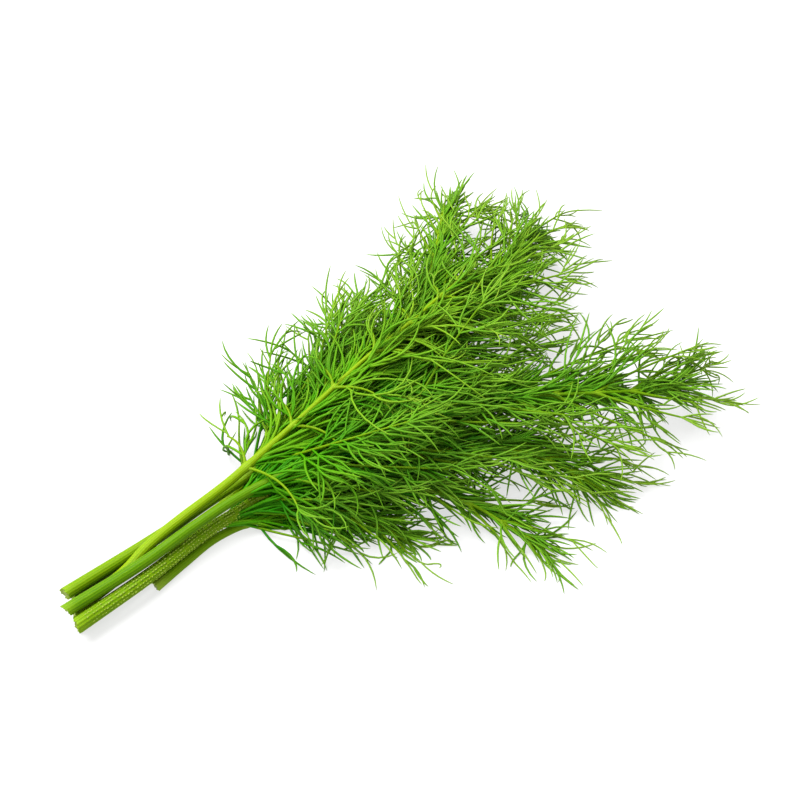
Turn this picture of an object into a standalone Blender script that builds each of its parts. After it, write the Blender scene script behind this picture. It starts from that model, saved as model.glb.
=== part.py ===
"""A bunch of fresh dill lying on a table: eight cut leafy stalks, each one grown piece and so one solid.

A stalk is a tapering tube. Along its leafy part it carries opposite pairs of side branches, and each
branch carries thread-like leaflets. The stalks lie side by side and on each other at their cut ends and
fan out into a low mound of fronds.

Units in the tables are millimetres; the meshes are in metres. +X runs from the cut ends to the tips, +Z is
up, z = 0 is the table, and the origin is on the flat where the lowest stalk bears on the table.
"""

import math
from dataclasses import dataclass
from random import Random

import bpy
import numpy as np

MM = 0.001
STALK_SIDES = 8
STALK_RINGS = 14
BRANCH_SIDES = 3
BRANCH_SHARES = (0.0, 0.45, 0.9, 1.0)  # of its length, where a branch has its corners
END_REACH = 11.0  # how far past its length a branch's last, pointed piece reaches, as its end leaflet
NODE_RADIUS = 0.82  # of a stalk where its first branches leave, as a share of that at its cut end
TIP_RADIUS = 0.8  # of a stalk, where its last branches leave
BRANCH_RADIUS = 1.1  # at a branch's root
BRANCH_END_RADIUS = 0.75  # where its pointed end begins
LEAFLET_RADIUS = 0.4
LEAFLET_ANGLE = 42  # degrees between a leaflet and its branch
LEAFLET_STEP = 2.9
FIRST_LEAFLET = 0.14  # share of a branch's length up to its end leaflet where the first leaflet leaves
LEAFLET_LENGTHS = (10.0, 16.0)
END_BRANCH = 0.3  # length of the branch that ends a stalk, as a share of its longest
END_DROOP = 0.1  # how far that branch's tip sinks, as a share of its length
GAP = 0.35  # that every stalk keeps to every other
OWN_GAP = 0.12  # that a leaflet keeps to its own stalk's other leaflets
STALK_GREEN = (0.25, 0.47, 0.04)


@dataclass(frozen=True)
class Stalk:
    """One cut leafy stalk, with its route given from the cut end to the tip."""

    name: str
    route: tuple
    radius: float
    first_pair: float  # share of the length where the lowest pair of branches leaves
    pairs: int
    branch: tuple  # length of the longest branch on the left and on the right
    spread: float  # degrees between a branch and the stalk
    roll: float  # degrees that the left branches rise, and the right ones sink, about the stalk
    curl: float  # how far a branch's end bends towards the stalk's tip, as a share of its length


def on_table(radius):
    """Height of a stalk's centreline where one of its flat sides bears on the table."""
    return radius * math.cos(math.pi / STALK_SIDES)


THIN, MIDDLE, THICK = 2.2, 2.5, 3.2  # a stalk's radius at its cut end
LOW = 0.0  # height in a route wherever the stalk bears on the table: it's lifted by its own radius there

STALKS = (
    Stalk(
        "stalk_lowest",
        (
            (-27, -3.2, LOW),
            (0, 0.0, LOW),
            (14, 2.5, LOW),
            (35, 5.9, LOW),
            (56, 3.0, LOW),
            (84, -10, 7),
            (106, -29, 11),
            (119, -46, 9),
            (126, -62, 6),
            (131, -74, 3),
        ),
        THIN, 0.46, 6, (30, 20), 50, 0, 0.25,
    ),
    Stalk(
        "stalk_front",
        (
            (5, -4.6, LOW),
            (20, -1.4, LOW),
            (35, 1.1, LOW),
            (50, -0.6, LOW),
            (64, -7, 4.5),
            (76, -18, 7.5),
            (85, -29, 7),
            (91, -39, 3),
        ),
        THIN, 0.42, 5, (27, 23), 56, 0, 0.25,
    ),
    Stalk(
        "stalk_back_left",
        (
            (-22, 10.8, LOW),
            (12, 13.2, LOW),
            (35, 15.9, LOW),
            (56, 18.6, 3.4),
            (77, 25, 9),
            (99, 35, 13),
            (121, 46, 14),
            (141, 58, 10),
        ),
        MIDDLE, 0.48, 6, (21, 36), 60, 0, 0.25,
    ),
    Stalk(
        "stalk_top_left",
        (
            (-25, 5.2, LOW),
            (12, 7.9, LOW),
            (35, 11.0, LOW),
            (54, 13.6, 5.4),
            (76, 17, 14),
            (102, 19.5, 22),
            (133, 26, 27),
            (160, 39, 27),
            (181, 58, 25),
            (199, 77, 21),
        ),
        MIDDLE, 0.40, 8, (34, 42), 50, 0, 0.25,
    ),
    Stalk(
        "stalk_low_right",
        (
            (-28, -5.8, 7.4),
            (4, -2.6, 7.6),
            (28, 1.4, 7.7),
            (44, 2.2, 8.4),
            (64, 0.8, 10.5),
            (92, -11, 14),
            (118, -23, 17),
            (139, -36, 17),
            (153, -49, 14),
            (162, -63, 9),
        ),
        THICK, 0.40, 7, (46, 26), 50, 0, 0.25,
    ),
    Stalk(
        "stalk_top_right",
        (
            (-25, 8.7, 7.5),
            (10, 10.6, 7.5),
            (35, 12.0, 8.6),
            (56, 11.4, 12.2),
            (79, 9.5, 18),
            (102, 10.5, 24),
            (131, 14, 28),
            (158, 22, 28),
            (183, 28, 27),
            (202, 37, 25),
            (220, 47, 21),
        ),
        MIDDLE, 0.37, 8, (42, 48), 48, 0, 0.25,
    ),
    Stalk(
        "stalk_right",
        (
            (-29, -0.4, 11.2),
            (4, 0.6, 12.4),
            (28, 2.4, 14.4),
            (52, 2.6, 16.4),
            (80, -2, 19.4),
            (108, -7, 23),
            (137, -15, 26),
            (163, -30, 26),
            (182, -41, 25),
            (198, -49, 23),
            (214, -54, 20),
        ),
        MIDDLE, 0.42, 8, (54, 46), 46, 0, 0.25,
    ),
    Stalk(
        "stalk_crown",
        (
            (-26, 1.2, 6.0),
            (-4, 3.8, 7.6),
            (10, 6.8, 11.2),
            (26, 8.5, 14.0),
            (50, 10.2, 18.0),
            (84, 13, 28),
            (114, 17, 35),
            (138, 20, 38),
            (157, 24, 39),
            (174, 29, 37),
        ),
        MIDDLE, 0.41, 6, (19, 33), 56, 0, -0.4,
    ),
)


def unit(vector):
    """The vector at length one; rows of an array one by one."""
    return vector / np.linalg.norm(vector, axis=-1, keepdims=True)


def smooth_route(points, count):
    """`count` points, evenly spaced, on the Catmull-Rom curve through the given ones."""
    knots = np.array(points, float)
    knots = np.vstack([2 * knots[0] - knots[1], knots, 2 * knots[-1] - knots[-2]])
    steps = np.linspace(0, 1, 24, endpoint=False)[:, None]
    dense = []
    for a, b, c, d in zip(knots, knots[1:], knots[2:], knots[3:]):
        cubic = 3 * (b - c) + d - a
        square = 2 * a - 5 * b + 4 * c - d
        dense.append(b + 0.5 * (steps * (c - a) + steps**2 * square + steps**3 * cubic))
    dense = np.vstack([*dense, knots[-2:-1]])
    along = np.concatenate([[0], np.cumsum(np.linalg.norm(np.diff(dense, axis=0), axis=1))])
    wanted = np.linspace(0, along[-1], count)
    return np.stack([np.interp(wanted, along, dense[:, k]) for k in range(3)], axis=1)


def frames(path, upward):
    """(forward, side, up) at each point of a path, with up as near to the given direction as it can be."""
    forward = unit(np.gradient(path, axis=0))
    side = unit(np.cross(upward, forward))
    return forward, side, np.cross(forward, side)


def length_of(path):
    """Length of a path along its points."""
    return float(np.linalg.norm(np.diff(path, axis=0), axis=1).sum())


def shares_of(path):
    """Share of the path's length that lies before each of its points."""
    along = np.concatenate([[0], np.cumsum(np.linalg.norm(np.diff(path, axis=0), axis=1))])
    return along / along[-1]


class Thread:
    """A tapering tube or spike along a path: the one shape that a stalk is made of."""

    def __init__(self, path, radii, sides, pointed, upward=(0.0, 0.0, 1.0)):
        self.path, self.radii = np.asarray(path), np.asarray(radii, float)
        self.sides, self.pointed, self.upward = sides, pointed, upward

    def mesh_data(self):
        """Points in metres and faces of the closed tube, or of the spike that ends in a point.

        One of its flat sides faces away from its upward direction."""
        _, side, up = frames(self.path, self.upward)
        ringed = len(self.path) - self.pointed
        turn = (np.arange(self.sides) + 0.5) / self.sides * 2 * math.pi
        circle = np.sin(turn)[:, None] * side[:ringed, None] - np.cos(turn)[:, None] * up[:ringed, None]
        points = (self.path[:ringed, None] + self.radii[:ringed, None, None] * circle).reshape(-1, 3)
        faces = [tuple(reversed(range(self.sides)))]
        for ring in range(ringed - 1):
            low = ring * self.sides
            for k in range(self.sides):
                right = (k + 1) % self.sides
                faces.append((low + k, low + right, low + right + self.sides, low + k + self.sides))
        last = (ringed - 1) * self.sides
        if self.pointed:
            points = np.vstack([points, self.path[-1]])
            tip = len(points) - 1
            faces += [(last + k, last + (k + 1) % self.sides, tip) for k in range(self.sides)]
        else:
            faces.append(tuple(range(last, last + self.sides)))
        return points * MM, faces


class Occupied:
    """The space that one stalk takes: capsules round the pieces of its threads."""

    def __init__(self):
        self.starts, self.ends, self.radii = np.empty((0, 3)), np.empty((0, 3)), np.empty(0)

    def add(self, thread):
        """Takes up the space of a thread."""
        self.starts = np.vstack([self.starts, thread.path[:-1]])
        self.ends = np.vstack([self.ends, thread.path[1:]])
        self.radii = np.append(self.radii, np.maximum(thread.radii[:-1], thread.radii[1:]))

    def distance(self, points, radii):
        """Least free distance from balls at these points to the capsules."""
        if not len(self.radii):
            return math.inf
        span = self.ends - self.starts
        offset = points[:, None] - self.starts
        share = (offset * span).sum(-1) / (span * span).sum(-1)
        nearest = self.starts + np.clip(share, 0, 1)[..., None] * span
        free = np.linalg.norm(points[:, None] - nearest, axis=-1) - self.radii - radii[:, None]
        return float(free.min())


def samples_of(thread, step=1.0):
    """Points about a step apart along a thread, and its radius at each."""
    count = max(3, int(length_of(thread.path) / step))
    known = shares_of(thread.path)
    wanted = np.linspace(0, 1, count)
    points = np.stack([np.interp(wanted, known, thread.path[:, k]) for k in range(3)], axis=1)
    return points, np.interp(wanted, known, thread.radii)


def stalk_path(stalk, count):
    """Points along the stalk and its radii there. It narrows up to its first branches, then tapers."""
    path = smooth_route(stalk.route, count)
    share = np.linspace(0, 1, count)
    node = NODE_RADIUS * stalk.radius
    leafy = np.clip((share - stalk.first_pair) / (1 - stalk.first_pair), 0, 1)
    bare = np.clip(share / stalk.first_pair, 0, 1)
    radii = stalk.radius + (node - stalk.radius) * bare + (TIP_RADIUS - node) * leafy**0.8
    path[:, 2] = np.maximum(path[:, 2], on_table(radii))
    return path, radii


def branch_path(root, direction, length, bend):
    """A branch's path from its root: it starts in a direction and bends over its length."""
    share = np.array(BRANCH_SHARES)[:, None]
    path = root + length * (share * direction + share**2 * bend)
    path[-1] += END_REACH * unit(direction + 2 * bend)
    lowest = LEAFLET_RADIUS + 0.4
    path[1:, 2] = np.maximum(path[1:, 2], lowest)
    return path


def branch_threads(stalk, others):
    """The stalk's side branches, in pairs, each turned about the stalk until it is clear of the others."""
    random = Random(stalk.name)
    path, _ = stalk_path(stalk, 200)
    forward, side, up = frames(path, (0.0, 0.0, 1.0))
    branches = []
    for pair in range(stalk.pairs + 1):
        age = pair / stalk.pairs
        share = stalk.first_pair + (0.97 - stalk.first_pair) * (1 - (1 - age) ** 1.25)
        at = int(share * (len(path) - 1))
        for hand in (-1, 1):
            length = stalk.branch[hand < 0] * (1 - 0.6 * age**1.4) * random.uniform(0.86, 1.1)
            angle = math.radians(stalk.spread * (1 - 0.45 * age) + random.uniform(-6, 6))
            roll = hand * stalk.roll + random.uniform(-10, 22)
            droop = random.uniform(0.02, 0.16)
            bend = stalk.curl * forward[at] - np.array((0, 0, droop))
            axes = (forward[at], side[at], up[at])
            branches.append(clear_branch(path[at], axes, hand, length, angle, roll, bend, others))
    last = (forward[-4], side[-4], up[-4])
    bend = np.array((0, 0, -END_DROOP))
    branches.append(clear_branch(path[-4], last, 1, stalk.branch[0] * END_BRANCH, 0, 0, bend, others))
    return [branch for branch in branches if branch]


def clear_branch(root, frame, hand, length, angle, roll, bend, others):
    """A branch at the given angles or, where another stalk is in the way, turned or shortened past it."""
    forward, side, up = frame
    for shorter in (1, 0.8, 0.6, 0.4):
        for turn in (0, 9, -9, 18, -18, 27, -27, 36, 48, 60):
            lean = math.radians(roll + turn)
            across = hand * math.cos(lean) * side + math.sin(lean) * up
            direction = math.cos(angle) * forward + math.sin(angle) * across
            path = branch_path(root, direction, length * shorter, bend)
            radii = BRANCH_RADIUS + (BRANCH_END_RADIUS - BRANCH_RADIUS) * np.array(BRANCH_SHARES)
            branch = Thread(path, radii, BRANCH_SIDES, True, up)
            points, sizes = samples_of(branch)
            if all(other.distance(points, sizes) > GAP for other in others):
                return branch
    return None


def leaflet(root, forward, across, length, random):
    """One straight three-sided leaflet that starts inside its branch. Its tip never reaches below the table."""
    angle = math.radians(LEAFLET_ANGLE + random.uniform(-9, 9))
    tip = root + length * (math.cos(angle) * forward + math.sin(angle) * across)
    tip[2] = max(tip[2], 0.0)
    return Thread(np.array([root, tip]), [LEAFLET_RADIUS, LEAFLET_RADIUS], BRANCH_SIDES, True, -across)


def leaflet_threads(stalk, branches, own, others):
    """Leaflets along each branch, from its flat sides in turn, wherever they are clear of other growth."""
    random = Random(stalk.name + " leaflets")
    grown = []
    for branch in branches:
        count = max(4, round(length_of(branch.path[:-1]) / LEAFLET_STEP))
        known = shares_of(branch.path)
        axes = (branch.path, *frames(branch.path, branch.upward))
        for number in range(count):
            share = known[-2] * (FIRST_LEAFLET + (1 - FIRST_LEAFLET) * number / (count - 1))
            root, forward, side, up = (
                np.array([np.interp(share, known, axis[:, k]) for k in range(3)]) for axis in axes
            )
            size = random.uniform(*LEAFLET_LENGTHS) * (1 - 0.35 * share)
            for attempt in range(6):
                turn = number * 2 * math.pi / BRANCH_SIDES + math.radians(random.uniform(-24, 24))
                across = math.sin(turn) * side - math.cos(turn) * up
                thread = leaflet(root, forward, across, size, random)
                points, sizes = samples_of(thread, 0.7)
                beyond = len(points) // 3
                clear = all(other.distance(points, sizes) > GAP for other in others)
                if clear and own.distance(points[beyond:], sizes[beyond:]) > OWN_GAP:
                    own.add(thread)
                    grown.append(thread)
                    break
    return grown


def material(name, colour):
    """A matt Principled finish."""
    made = bpy.data.materials.new(name)
    made.use_nodes = True
    shader = made.node_tree.nodes["Principled BSDF"]
    shader.inputs["Base Color"].default_value = (*colour, 1)
    shader.inputs["Roughness"].default_value = 0.5
    return made


def mesh_object(name, thread, collection):
    """An object whose mesh is one thread."""
    points, faces = thread.mesh_data()
    mesh = bpy.data.meshes.new(name)
    mesh.from_pydata(points.tolist(), [], faces)
    made = bpy.data.objects.new(name, mesh)
    collection.objects.link(made)
    return made


def fused(stalk, threads, finish):
    """The stalk with its branches and leaflets joined to it in one Boolean union, as one solid."""
    made = mesh_object(stalk.name, threads[0], bpy.context.scene.collection)
    made.data.materials.append(finish)
    grown = bpy.data.collections.new(stalk.name + "_grown")
    bpy.context.scene.collection.children.link(grown)
    for number, thread in enumerate(threads[1:]):
        mesh_object(f"{stalk.name}_{number}", thread, grown)
    union = made.modifiers.new("Grown together", "BOOLEAN")
    union.operation, union.solver = "UNION", "MANIFOLD"
    union.operand_type, union.collection = "COLLECTION", grown
    bpy.context.view_layer.objects.active = made
    bpy.ops.object.modifier_apply(modifier=union.name)
    for piece in list(grown.objects):
        bpy.data.objects.remove(piece)
    bpy.data.collections.remove(grown)
    return made


def main():
    """Clears the scene, lays out every stalk clear of the others, and fuses each into its solid."""
    for old in list(bpy.data.objects):
        bpy.data.objects.remove(old)
    finish = material("dill_green", STALK_GREEN)
    stems = [Thread(*stalk_path(stalk, STALK_RINGS), STALK_SIDES, False) for stalk in STALKS]
    spaces = [Occupied() for _ in STALKS]
    for space, stem in zip(spaces, stems):
        space.add(stem)
    grown = []
    for number, stalk in enumerate(STALKS):
        others = spaces[:number] + spaces[number + 1 :]
        branches = branch_threads(stalk, others)
        for branch in branches:
            spaces[number].add(branch)
        grown.append(branches)
    for number, stalk in enumerate(STALKS):
        others = spaces[:number] + spaces[number + 1 :]
        leaflets = leaflet_threads(stalk, grown[number], spaces[number], others)
        fused(stalk, [stems[number], *grown[number], *leaflets], finish)
        print(stalk.name, len(grown[number]), "branches", len(leaflets), "leaflets")


if __name__ == "__main__":
    main()
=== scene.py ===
"""Looks of the dill bunch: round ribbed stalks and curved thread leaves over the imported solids.

Eight cut stalks lie side by side and on each other, and fan out into a low mound of fronds. Each
stalk keeps the route of its solid and the side branches that grow from it. This file draws them
round, adds the ribs, joints and cut ends, and gives each branch its sprays of thread leaves.

Lengths in the tables and classes are millimetres, and meshes are in metres. +X runs from the cut
ends to the tips, +Z is up, and z = 0 is the table. A Span is the least and the most of a random
draw, or what a value is at the start and at the end of a share that runs from 0 to 1.
"""

import logging
import math
from dataclasses import dataclass, field
from enum import Enum
from random import Random
from typing import Dict, Iterable, List, Optional, Sequence, Tuple, Union

import bpy
import numpy as np
from mathutils import Euler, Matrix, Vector


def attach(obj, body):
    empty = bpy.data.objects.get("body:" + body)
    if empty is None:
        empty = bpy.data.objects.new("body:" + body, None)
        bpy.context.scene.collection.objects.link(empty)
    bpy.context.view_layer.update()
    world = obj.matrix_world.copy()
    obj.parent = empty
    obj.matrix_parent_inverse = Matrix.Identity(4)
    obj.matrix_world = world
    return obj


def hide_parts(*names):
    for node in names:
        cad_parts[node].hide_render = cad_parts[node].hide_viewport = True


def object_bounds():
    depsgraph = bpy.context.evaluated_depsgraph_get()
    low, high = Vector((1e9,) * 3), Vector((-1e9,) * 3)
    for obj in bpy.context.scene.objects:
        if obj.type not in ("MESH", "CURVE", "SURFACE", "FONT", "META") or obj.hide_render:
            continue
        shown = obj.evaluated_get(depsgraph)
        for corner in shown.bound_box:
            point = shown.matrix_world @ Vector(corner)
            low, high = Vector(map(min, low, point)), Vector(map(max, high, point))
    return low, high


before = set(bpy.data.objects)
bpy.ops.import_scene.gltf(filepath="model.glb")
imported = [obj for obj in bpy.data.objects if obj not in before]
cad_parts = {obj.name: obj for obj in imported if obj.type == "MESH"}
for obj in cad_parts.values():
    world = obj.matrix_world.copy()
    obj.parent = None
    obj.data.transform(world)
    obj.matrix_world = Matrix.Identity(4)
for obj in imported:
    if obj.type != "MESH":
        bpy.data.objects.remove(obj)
PACKED_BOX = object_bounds()

Span = Tuple[float, float]
Point = Tuple[float, float, float]
Colour = Tuple[float, float, float]
Axes = Tuple[np.ndarray, np.ndarray, np.ndarray]
Socket = bpy.types.NodeSocket

LOG = logging.getLogger("dill_bunch")
MM = 0.001
UP = (0.0, 0.0, 1.0)
BODY = "root"
STEM_RINGS = 160

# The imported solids' own numbers, so that the finer pieces follow the same routes and branches.
CAD_SIDES = 8
CAD_RINGS = 14
ROUTE_POINTS = 200
CURVE_STEPS = 24
BRANCH_SHARES = (0.0, 0.45, 0.9, 1.0)
NODE_RADIUS = 0.82
TIP_RADIUS = 0.8
TAPER_POWER = 0.8
BRANCH_RADII: Span = (1.1, 0.75)
BRANCH_FLOOR = 0.8
END_REACH = 11.0
END_BRANCH = 0.3
END_POINT = -4
END_DROOP = 0.1
GAP = 0.35
THIN, MIDDLE, THICK = 2.2, 2.5, 3.2
LOW = 0.0


class Side(Enum):
    """The two sides of a stalk, by the sign that its level axis takes there."""

    RIGHT = -1
    LEFT = 1


class Skin(Enum):
    """How a stalk's surface is worked."""

    FINE_RIBS = "fine ribs"
    BEADED_RIBS = "beaded ribs"
    WITHERED_END = "fine ribs with a withered end"


@dataclass(frozen=True)
class StalkPlan:
    """One cut leafy stalk: its route from the cut end to the tip, its branches and its look.

    The route, radius, first_pair, pairs, branch, spread and curl are those of its solid. lightness
    runs from 0, deep green, to 1, fresh yellow green, and fullness is how thickly its threads
    stand. drift is how much they turn along the stalk rather than along their branch, wave is how
    strongly they bend, and reach scales their lengths. stem_lightness is the stem's own lightness.
    early_joint is the share of the route where a joint below the first branches bears shoots, or 0.
    """

    name: str
    route: Tuple[Point, ...]
    radius: float
    first_pair: float
    pairs: int
    branch: Span
    spread: float
    lightness: float
    fullness: float
    drift: float
    stem_lightness: float
    curl: float = 0.25
    wave: float = 1.0
    reach: float = 1.0
    skin: Skin = Skin.FINE_RIBS
    early_joint: float = 0.0


STALKS: Tuple[StalkPlan, ...] = (
    StalkPlan(
        "stalk_lowest",
        (
            (-27, -3.2, LOW), (0, 0.0, LOW), (14, 2.5, LOW), (35, 5.9, LOW), (56, 3.0, LOW),
            (84, -10, 7), (106, -29, 11), (119, -46, 9), (126, -62, 6), (131, -74, 3),
        ),
        THIN, 0.46, 6, (30, 20), 50,
        lightness=0.3, fullness=0.55, drift=0.2, stem_lightness=0.35, wave=1.2,
    ),
    StalkPlan(
        "stalk_front",
        (
            (5, -4.6, LOW), (20, -1.4, LOW), (35, 1.1, LOW), (50, -0.6, LOW),
            (64, -7, 4.5), (76, -18, 7.5), (85, -29, 7), (91, -39, 3),
        ),
        THIN, 0.42, 5, (27, 23), 56,
        lightness=0.4, fullness=0.45, drift=0.1, stem_lightness=0.4, wave=1.3, reach=1.05,
        skin=Skin.WITHERED_END,
    ),
    StalkPlan(
        "stalk_back_left",
        (
            (-22, 10.8, LOW), (12, 13.2, LOW), (35, 15.9, LOW), (56, 18.6, 3.4),
            (77, 25, 9), (99, 35, 13), (121, 46, 14), (141, 58, 10),
        ),
        MIDDLE, 0.48, 6, (21, 36), 60,
        lightness=0.4, fullness=0.42, drift=0.1, stem_lightness=0.75, wave=1.3,
    ),
    StalkPlan(
        "stalk_top_left",
        (
            (-25, 5.2, LOW), (12, 7.9, LOW), (35, 11.0, LOW), (54, 13.6, 5.4), (76, 17, 14),
            (102, 19.5, 22), (133, 26, 27), (160, 39, 27), (181, 58, 25), (199, 77, 21),
        ),
        MIDDLE, 0.40, 8, (34, 42), 50,
        lightness=0.5, fullness=1.15, drift=0.75, stem_lightness=0.75, reach=1.02,
    ),
    StalkPlan(
        "stalk_low_right",
        (
            (-28, -5.8, 7.4), (4, -2.6, 7.6), (28, 1.4, 7.7), (44, 2.2, 8.4), (64, 0.8, 10.5),
            (92, -11, 14), (118, -23, 17), (139, -36, 17), (153, -49, 14), (162, -63, 9),
        ),
        THICK, 0.40, 7, (46, 26), 50,
        lightness=0.2, fullness=1.35, drift=0.6, stem_lightness=0.5,
        skin=Skin.BEADED_RIBS, early_joint=0.3,
    ),
    StalkPlan(
        "stalk_top_right",
        (
            (-25, 8.7, 7.5), (10, 10.6, 7.5), (35, 12.0, 8.6), (56, 11.4, 12.2), (79, 9.5, 18),
            (102, 10.5, 24), (131, 14, 28), (158, 22, 28), (183, 28, 27), (202, 37, 25),
            (220, 47, 21),
        ),
        MIDDLE, 0.37, 8, (42, 48), 48,
        lightness=0.55, fullness=1.45, drift=0.9, stem_lightness=0.6,
    ),
    StalkPlan(
        "stalk_right",
        (
            (-29, -0.4, 11.2), (4, 0.6, 12.4), (28, 2.4, 14.4), (52, 2.6, 16.4), (80, -2, 19.4),
            (108, -7, 23), (137, -15, 26), (163, -30, 26), (182, -41, 25), (198, -49, 23),
            (214, -54, 20),
        ),
        MIDDLE, 0.42, 8, (54, 46), 46,
        lightness=0.2, fullness=1.15, drift=0.7, stem_lightness=0.05, reach=0.9, early_joint=0.3,
    ),
    StalkPlan(
        "stalk_crown",
        (
            (-26, 1.2, 6.0), (-4, 3.8, 7.6), (10, 6.8, 11.2), (26, 8.5, 14.0), (50, 10.2, 18.0),
            (84, 13, 28), (114, 17, 35), (138, 20, 38), (157, 24, 39), (174, 29, 37),
        ),
        MIDDLE, 0.41, 6, (19, 33), 56,
        lightness=1.0, fullness=0.65, drift=0.5, stem_lightness=1.0, curl=-0.4, wave=1.8, reach=1.1,
    ),
)


def blend(span: Span, share: Union[float, np.ndarray]) -> Union[float, np.ndarray]:
    """What a value is at a share of the way through its span."""
    return span[0] + (span[1] - span[0]) * share


def bell(distance: Union[float, np.ndarray]) -> Union[float, np.ndarray]:
    """A value that falls from 1 at no distance to nothing at a few."""
    return np.exp(-(distance**2))


def unit(vectors: np.ndarray) -> np.ndarray:
    """Vectors at length one, along the last axis."""
    return vectors / np.linalg.norm(vectors, axis=-1, keepdims=True)


def smooth_route(points: Sequence[Sequence[float]], count: int) -> np.ndarray:
    """Evenly spaced points on the Catmull-Rom curve through the given ones.

    Args:
        points: the points that the curve passes through.
        count: how many points are wanted.

    Returns:
        An array of count rows.
    """
    knots = np.array(points, float)
    knots = np.vstack([2 * knots[0] - knots[1], knots, 2 * knots[-1] - knots[-2]])
    steps = np.linspace(0, 1, CURVE_STEPS, endpoint=False)[:, None]
    dense = []
    for a, b, c, d in zip(knots, knots[1:], knots[2:], knots[3:]):
        cubic = 3 * (b - c) + d - a
        square = 2 * a - 5 * b + 4 * c - d
        dense.append(b + 0.5 * (steps * (c - a) + steps**2 * square + steps**3 * cubic))
    dense = np.vstack([*dense, knots[-2:-1]])
    along = np.concatenate([[0], np.cumsum(np.linalg.norm(np.diff(dense, axis=0), axis=1))])
    wanted = np.linspace(0, along[-1], count)
    return np.stack([np.interp(wanted, along, dense[:, k]) for k in range(3)], axis=1)


def frames(path: np.ndarray, upward: Sequence[float]) -> Axes:
    """The directions along, to the left of and above each point of a path.

    Args:
        path: points of the path.
        upward: the direction that "above" comes as near to as it can.

    Returns:
        Forward, side and up, one row for each point.
    """
    forward = unit(np.gradient(path, axis=0))
    side = unit(np.cross(upward, forward))
    return forward, side, np.cross(forward, side)


def shares_of(path: np.ndarray) -> np.ndarray:
    """Share of a path's length that lies before each of its points."""
    along = np.concatenate([[0], np.cumsum(np.linalg.norm(np.diff(path, axis=0), axis=1))])
    return along / along[-1]


def length_of(path: np.ndarray) -> float:
    """Length of a path along its points."""
    return float(np.linalg.norm(np.diff(path, axis=0), axis=1).sum())


def turns_round(sides: int) -> np.ndarray:
    """Evenly spaced angles round a circle, in radians."""
    return np.arange(sides) / sides * 2 * math.pi


def hoops(side: np.ndarray, up: np.ndarray, turn: np.ndarray) -> np.ndarray:
    """Unit vectors round each point of a path, which start straight below it."""
    return np.sin(turn)[:, None] * side[:, None] - np.cos(turn)[:, None] * up[:, None]


def leaning(
    axes: Axes, hand: Union[int, np.ndarray], angle: np.ndarray, lean: np.ndarray
) -> Tuple[np.ndarray, np.ndarray]:
    """Directions that leave their axes to a side.

    Args:
        axes: forward, side and up, one row for each direction.
        hand: the side that each leaves on, by its sign, or 0 for neither.
        angle: between each direction and forward, in radians.
        lean: how far each is turned up about forward, in radians.

    Returns:
        The directions, and for each the direction square to the plane that it leaves in.
    """
    forward, side, up = axes
    across = (hand * np.cos(lean))[:, None] * side + np.sin(lean)[:, None] * up
    direction = np.cos(angle)[:, None] * forward + np.sin(angle)[:, None] * across
    plane = unit(np.cos(lean)[:, None] * up - (hand * np.sin(lean))[:, None] * side)
    return direction, plane


@dataclass
class Rod:
    """A path and its radius at each point."""

    path: np.ndarray
    radii: np.ndarray

    def samples(self, step: float = 1.0) -> Tuple[np.ndarray, np.ndarray]:
        """Points about a step apart along the rod, and its radius at each.

        Args:
            step: the wanted distance between two points.

        Returns:
            The points and the radii.
        """
        count = max(3, int(length_of(self.path) / step))
        known, wanted = shares_of(self.path), np.linspace(0, 1, count)
        points = np.stack([np.interp(wanted, known, self.path[:, k]) for k in range(3)], axis=1)
        return points, np.interp(wanted, known, self.radii)


@dataclass
class Growth:
    """The space that one stalk's solid takes, as capsules round the pieces of its rods."""

    starts: np.ndarray = field(default_factory=lambda: np.empty((0, 3)))
    ends: np.ndarray = field(default_factory=lambda: np.empty((0, 3)))
    radii: np.ndarray = field(default_factory=lambda: np.empty(0))

    def add(self, rod: Rod) -> None:
        """Takes up the space of a rod."""
        self.starts = np.vstack([self.starts, rod.path[:-1]])
        self.ends = np.vstack([self.ends, rod.path[1:]])
        self.radii = np.append(self.radii, np.maximum(rod.radii[:-1], rod.radii[1:]))

    def distance(self, points: np.ndarray, radii: np.ndarray) -> float:
        """Least free distance from balls to the capsules.

        Args:
            points: the balls' centres.
            radii: the balls' radii.

        Returns:
            The distance, which is below zero where they overlap.
        """
        span = self.ends - self.starts
        offset = points[:, None] - self.starts
        share = (offset * span).sum(-1) / (span * span).sum(-1)
        nearest = self.starts + np.clip(share, 0, 1)[..., None] * span
        free = np.linalg.norm(points[:, None] - nearest, axis=-1) - self.radii - radii[:, None]
        return float(free.min())


@dataclass
class Branch:
    """A side branch: it leaves its root in a direction and bends over its length."""

    root: np.ndarray
    direction: np.ndarray
    length: float
    bend: np.ndarray
    upward: np.ndarray
    node_share: float = 0.0

    def points(self, shares: np.ndarray, beyond: float = 0.0) -> np.ndarray:
        """Points on the branch, kept above the table.

        Args:
            shares: where they lie, as shares of its length.
            beyond: how far the last point stands past its place.

        Returns:
            One row for each share.
        """
        share = np.asarray(shares, float)[:, None]
        path = self.root + self.length * (share * self.direction + share**2 * self.bend)
        path[-1] += beyond * unit(self.direction + 2 * self.bend)
        path[1:, 2] = np.maximum(path[1:, 2], BRANCH_FLOOR)
        return path

    def rod(self) -> Rod:
        """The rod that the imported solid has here, with its end leaflet."""
        shares = np.array(BRANCH_SHARES)
        return Rod(self.points(shares, END_REACH), blend(BRANCH_RADII, shares))


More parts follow.
